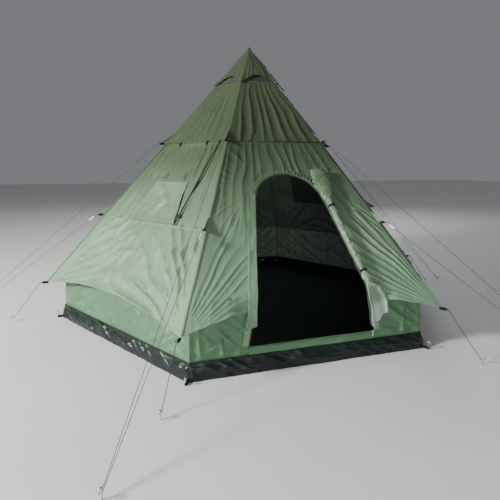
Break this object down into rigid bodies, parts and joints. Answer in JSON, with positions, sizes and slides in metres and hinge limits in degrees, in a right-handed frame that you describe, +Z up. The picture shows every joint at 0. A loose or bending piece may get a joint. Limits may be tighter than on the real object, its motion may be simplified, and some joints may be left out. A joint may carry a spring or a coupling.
{
  "type": "teepee tent",
  "caption": "Six-sided cloth teepee tent on a centre pole, with an arched door tied open, windows, low walls, a black bathtub groundsheet, guy lines and pegs.",
  "frame": {"origin": "on the ground, at the middle of the groundsheet's underside, under the apex", "axes": "+Z up, the door faces -Y, +X to the right seen from in front of the door, through a corner of the groundsheet"},
  "size_m": [4.392, 3.9775, 2.259],
  "materials": {
    "canopy_cloth": "coated woven polyester, satin sheen",
    "cape_cloth": "coated woven polyester, darker olive, satin sheen",
    "door_cloth": "coated woven polyester, gathered",
    "tub_sheet": "coated black groundsheet cloth, glossy",
    "mesh": "fine black mosquito mesh",
    "seam_tape": "folded seam binding",
    "webbing": "woven black webbing",
    "zip_tape": "dark coil zip tape",
    "zip_metal": "pale enamelled slider",
    "pole_steel": "grey powder coat on steel tube",
    "rubber": "matt",
    "black_plastic": "matt moulded",
    "runner_plastic": "pale moulded, slightly glossy",
    "guy_cord": "braided cord",
    "elastic_cord": "braided shock cord",
    "peg_steel": "zinc-plated wire"
  },
  "bodies": {
    "tent": {"apex_cap": "cape_cloth", "apex_pocket": "cape_cloth", "cap_button": "cape_cloth", "corner_loops": "webbing", "door_flap": "door_cloth", "door_sill": "canopy_cloth", "door_ties": "webbing", "door_zip": "zip_tape", "eave_elastics": "elastic_cord", "floor_sheet": "tub_sheet", "guy_line_lower_back_left": "guy_cord", "guy_line_lower_back_right": "guy_cord", "guy_line_lower_front_left": "guy_cord", "guy_line_lower_front_right": "guy_cord", "guy_line_lower_left": "guy_cord", "guy_line_lower_right": "guy_cord", "guy_line_upper_back_left": "guy_cord", "guy_line_upper_back_right": "guy_cord", "guy_line_upper_front_left": "guy_cord", "guy_line_upper_front_right": "guy_cord", "guy_line_upper_left": "guy_cord", "guy_line_upper_right": "guy_cord", "guy_rings": "black_plastic", "guy_tabs": "canopy_cloth", "hem_loops": "webbing", "mesh_door": "mesh", "pole_foot": "rubber", "pole_lower": "pole_steel", "pole_middle": "pole_steel", "pole_patch": "tub_sheet", "pole_tip": "black_plastic", "pole_upper": "pole_steel", "ridge_tapes": "seam_tape", "roof_panel_back": "canopy_cloth", "roof_panel_front": "canopy_cloth", "roof_panel_left_back": "canopy_cloth", "roof_panel_left_front": "canopy_cloth", "roof_panel_right_back": "canopy_cloth", "roof_panel_right_front": "canopy_cloth", "storm_flap": "canopy_cloth", "tent_pegs": "peg_steel", "tub_sides": "tub_sheet", "upper_cape": "cape_cloth", "vent_mesh": "mesh", "wall_panels": "canopy_cloth", "window_meshes": "mesh", "window_straps": "webbing", "window_ties": "webbing"},
    "window_flap_left_body": {"window_flap_left": "canopy_cloth"},
    "window_flap_right_body": {"window_flap_right": "canopy_cloth"},
    "strap_buckle_left_body": {"strap_buckle_left": "black_plastic"},
    "strap_buckle_right_body": {"strap_buckle_right": "black_plastic"},
    "arch_zip_slider_body": {"arch_zip_slider": "zip_metal"},
    "sill_zip_slider_body": {"sill_zip_slider": "zip_metal"},
    "runner_front_left_body": {"runner_front_left": "runner_plastic"},
    "runner_front_right_body": {"runner_front_right": "runner_plastic"},
    "runner_right_body": {"runner_right": "runner_plastic"},
    "runner_back_right_body": {"runner_back_right": "runner_plastic"},
    "runner_back_left_body": {"runner_back_left": "runner_plastic"},
    "runner_left_body": {"runner_left": "runner_plastic"}
  },
  "joints": [
    {"name": "window_flap_left_hinge", "type": "hinge", "parent": "tent", "child": "window_flap_left_body", "pos_m": [-0.74659, -0.43105, 1.08146], "axis": [-0.5, 0.866, 0], "range_deg": [0, 105]},
    {"name": "window_flap_right_hinge", "type": "hinge", "parent": "tent", "child": "window_flap_right_body", "pos_m": [0.74659, 0.43105, 1.08146], "axis": [0.5, -0.866, 0], "range_deg": [0, 105]},
    {"name": "strap_buckle_left_slide", "type": "slide", "parent": "tent", "child": "strap_buckle_left_body", "axis": [0.5116, 0.2953, 0.8069], "range_m": [0, 0.35]},
    {"name": "strap_buckle_right_slide", "type": "slide", "parent": "tent", "child": "strap_buckle_right_body", "axis": [-0.5116, -0.2953, 0.8069], "range_m": [0, 0.35]},
    {"name": "arch_zip_slide", "type": "hinge", "parent": "tent", "child": "arch_zip_slider_body", "pos_m": [0, -0.96909, 0.93021], "axis": [0, -0.8069, 0.5907], "range_deg": [0, 95]},
    {"name": "sill_zip_slide", "type": "slide", "parent": "tent", "child": "sill_zip_slider_body", "axis": [-1, 0, 0], "range_m": [0, 0.78]},
    {"name": "runner_front_left_slide", "type": "slide", "parent": "tent", "child": "runner_front_left_body", "axis": [-0.4088, -0.7081, -0.5758], "range_m": [0, 1.22]},
    {"name": "runner_front_right_slide", "type": "slide", "parent": "tent", "child": "runner_front_right_body", "axis": [0.4201, -0.7276, -0.5424], "range_m": [0, 1.3]},
    {"name": "runner_right_slide", "type": "slide", "parent": "tent", "child": "runner_right_body", "axis": [0.6957, 0, -0.7184], "range_m": [0, 0.95]},
    {"name": "runner_back_right_slide", "type": "slide", "parent": "tent", "child": "runner_back_right_body", "axis": [0.3478, 0.6025, -0.7184], "range_m": [0, 0.95]},
    {"name": "runner_back_left_slide", "type": "slide", "parent": "tent", "child": "runner_back_left_body", "axis": [-0.3478, 0.6025, -0.7184], "range_m": [0, 0.95]},
    {"name": "runner_left_slide", "type": "slide", "parent": "tent", "child": "runner_left_body", "axis": [-0.7906, 0, -0.6124], "range_m": [0, 1.14]}
  ]
}
